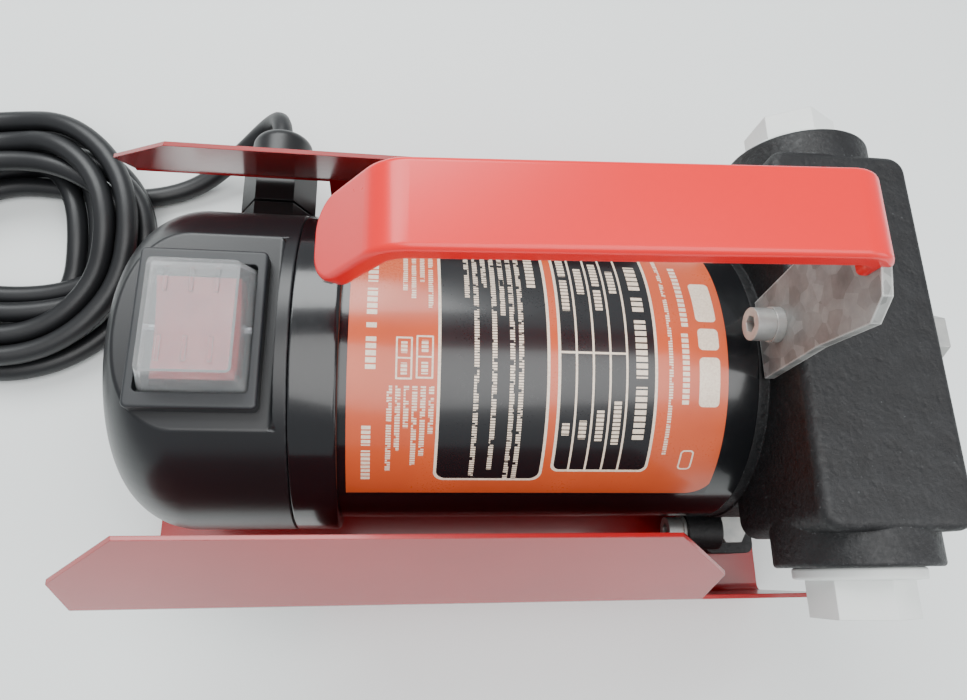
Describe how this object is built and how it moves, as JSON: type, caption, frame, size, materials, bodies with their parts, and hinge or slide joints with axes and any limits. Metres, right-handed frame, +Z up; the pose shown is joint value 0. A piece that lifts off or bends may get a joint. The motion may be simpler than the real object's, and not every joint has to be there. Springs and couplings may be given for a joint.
{
  "type": "fluid transfer pump",
  "caption": "Electric fluid transfer pump: tubular motor with rear rocker switch, cast vane pump head with plugged ports, strap handle, folded steel base and power cord.",
  "frame": {"origin": "on the underside of the base plate, straight below the motor axis", "axes": "+X along the motor axis towards the pump head, +Y towards the outlet port and cable side, +Z up"},
  "size_m": [0.3496, 0.1777, 0.1479],
  "materials": {
    "bracket_red": "gloss",
    "tube_black": "gloss",
    "label_film": "satin",
    "cap_black": "satin",
    "magnet_grey": "matt",
    "steel": "ground",
    "core_steel": "laminated",
    "copper": "enamelled",
    "carbon": "matt",
    "switch_black": "satin",
    "rocker_red": "gloss",
    "boot_clear": "clear",
    "brass_contacts": "plated",
    "gland_black": "satin",
    "seal_rubber": "matt",
    "cast_black": "painted, rough cast",
    "zinc": "zinc plated",
    "vane_grey": "matt",
    "plug_white": "satin",
    "handle_steel": "galvanised",
    "grip_red": "gloss dipped",
    "cord_black": "satin"
  },
  "bodies": {
    "pump": {"base_bracket": "bracket_red", "motor_tube": "tube_black", "motor_label": "label_film", "magnets": "magnet_grey", "rear_endplate": "cast_black", "rear_bearing": "steel", "front_bearing": "steel", "brushes": "carbon", "brush_holders": "switch_black", "brush_springs": "steel", "cap_ring": "tube_black", "rear_cap": "cap_black", "rear_cap_screws": "zinc", "switch_housing": "switch_black", "switch_frame": "switch_black", "rocker_pin": "steel", "switch_boot": "boot_clear", "switch_terminals": "brass_contacts", "gland_body": "gland_black", "gland_locknut": "gland_black", "gland_seal": "seal_rubber", "gland_nut": "gland_black", "pump_body": "cast_black", "shaft_seal": "seal_rubber", "cam_ring": "steel", "cover_gasket": "seal_rubber", "pump_cover": "cast_black", "pump_cover_screws": "zinc", "bypass_spring": "steel", "bypass_cap": "zinc", "handle_bar": "handle_steel", "handle_grip": "grip_red", "flange_screws": "zinc", "flange_washers": "zinc", "foot_screws": "zinc", "power_cord": "cord_black", "cord_coil": "cord_black", "connector_boot": "cord_black", "connector_housing": "switch_black", "connector_contacts": "brass_contacts"},
    "rotor": {"shaft": "steel", "armature_core": "core_steel", "winding": "copper", "commutator": "copper", "vane_rotor": "steel", "vanes": "vane_grey"},
    "rocker": {"rocker_button": "rocker_red"},
    "bypass": {"bypass_poppet": "brass_contacts"},
    "near_plug": {"port_plug_near": "plug_white"},
    "far_plug": {"port_plug_far": "plug_white"}
  },
  "joints": [
    {"name": "rotor_spin", "type": "hinge", "parent": "pump", "child": "rotor", "pos_m": [0, 0, 0.05], "axis": [1, 0, 0], "continuous": true},
    {"name": "rocker_tilt", "type": "hinge", "parent": "pump", "child": "rocker", "pos_m": [-0.0792, -0.0009, 0.0885], "axis": [-1, 0, 0], "range_deg": [0, 16]},
    {"name": "bypass_lift", "type": "slide", "parent": "pump", "child": "bypass", "axis": [1, 0, 0], "range_m": [0, 0.002], "stiffness_N_per_m": 1500, "springref_m": -0.002, "deforming": ["bypass_spring"]},
    {"name": "near_plug_pull", "type": "slide", "parent": "pump", "child": "near_plug", "axis": [0, -1, 0], "range_m": [0, 0.03]},
    {"name": "far_plug_pull", "type": "slide", "parent": "pump", "child": "far_plug", "axis": [0, 1, 0], "range_m": [0, 0.03]}
  ]
}
